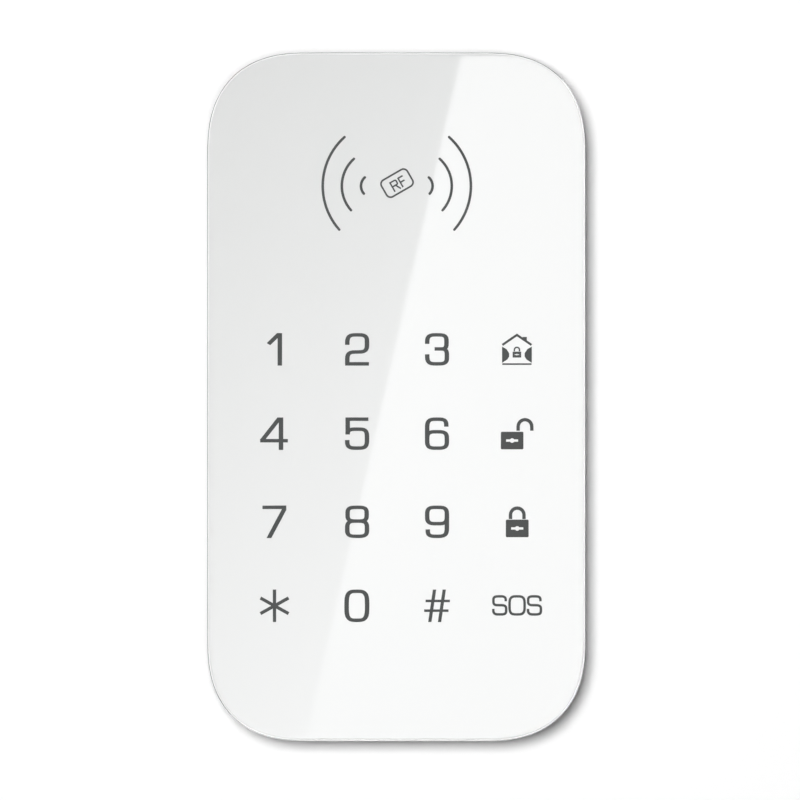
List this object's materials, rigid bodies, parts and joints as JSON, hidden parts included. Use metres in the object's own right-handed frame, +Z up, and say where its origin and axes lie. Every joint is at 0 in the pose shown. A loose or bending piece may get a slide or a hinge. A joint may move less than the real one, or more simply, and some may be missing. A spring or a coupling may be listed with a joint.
{
  "type": "alarm keypad",
  "caption": "Slim wall-mounted touch keypad with a glossy rounded panel, digit keys, arming symbols and a card reader area, hung on a screwed wall bracket.",
  "frame": {"origin": "on the wall plane, midway between the two wall screw holes of the bracket, which is also the centre of the panel seen from the front", "axes": "+Z up along the height of the panel, +Y towards the wall, so the front looks along -Y, and +X to the right seen from the front"},
  "size_m": [0.0686, 0.0155, 0.125],
  "materials": {
    "bracket_plastic": "moulded, fine texture",
    "shell_plastic": "moulded, fine texture",
    "frame_plastic": "moulded, satin",
    "panel_gloss": "polished, high gloss",
    "legend_ink": "dark grey printed ink, satin",
    "tape": "foam tape",
    "electrode_film": "translucent film",
    "electrode_silver": "conductive silver ink",
    "clear_acrylic": "clear, polished",
    "led": "resin",
    "circuit_board": "solder mask",
    "copper": "bare copper",
    "chip_black": "moulded epoxy",
    "radio_can": "tinned can",
    "gold_wire": "plated wire",
    "crystal_can": "tinned can",
    "ceramic_chip": "fired ceramic",
    "black_plastic": "moulded",
    "cell_foil": "foil pouch",
    "lead_insulation": "soft insulation",
    "plug_plastic": "moulded nylon",
    "plated_steel": "nickel plated",
    "switch_plastic": "moulded",
    "spring_steel": "drawn wire",
    "screw_steel": "zinc plated"
  },
  "bodies": {
    "wall_bracket": {"wall_bracket": "bracket_plastic"},
    "keypad": {"rear_housing": "shell_plastic", "front_frame": "frame_plastic", "panel_adhesive": "tape", "front_panel": "panel_gloss", "digit_legends": "legend_ink", "symbol_legends": "legend_ink", "reader_legend": "legend_ink", "touch_film": "electrode_film", "touch_pads": "electrode_silver", "light_guide": "clear_acrylic", "backlight_leds": "led", "main_board": "circuit_board", "reader_coil": "copper", "touch_controller": "chip_black", "microcontroller": "chip_black", "reader_chip": "chip_black", "charger_chip": "chip_black", "radio_module": "radio_can", "radio_antenna": "gold_wire", "crystal": "crystal_can", "board_passives": "ceramic_chip", "buzzer": "black_plastic", "battery": "cell_foil", "battery_pad": "tape", "battery_leads": "lead_insulation", "battery_plug": "plug_plastic", "usb_socket": "plated_steel", "power_switch_body": "plated_steel", "tamper_switch": "switch_plastic", "tamper_spring": "spring_steel", "housing_screws": "screw_steel", "board_screws": "screw_steel"},
    "power_knob": {"power_switch_knob": "black_plastic"},
    "plunger": {"tamper_plunger": "plug_plastic"}
  },
  "joints": [
    {"name": "keypad_lift", "type": "slide", "parent": "wall_bracket", "child": "keypad", "axis": [0, 0, 1], "range_m": [0, 0.0055]},
    {"name": "power_switch", "type": "slide", "parent": "keypad", "child": "power_knob", "axis": [1, 0, 0], "range_m": [0, 0.002]},
    {"name": "tamper_release", "type": "slide", "parent": "keypad", "child": "plunger", "axis": [0, 1, 0], "range_m": [0, 0.0015], "stiffness_N_per_m": 200, "springref_m": 0.0025, "deforming": ["tamper_spring"]}
  ]
}
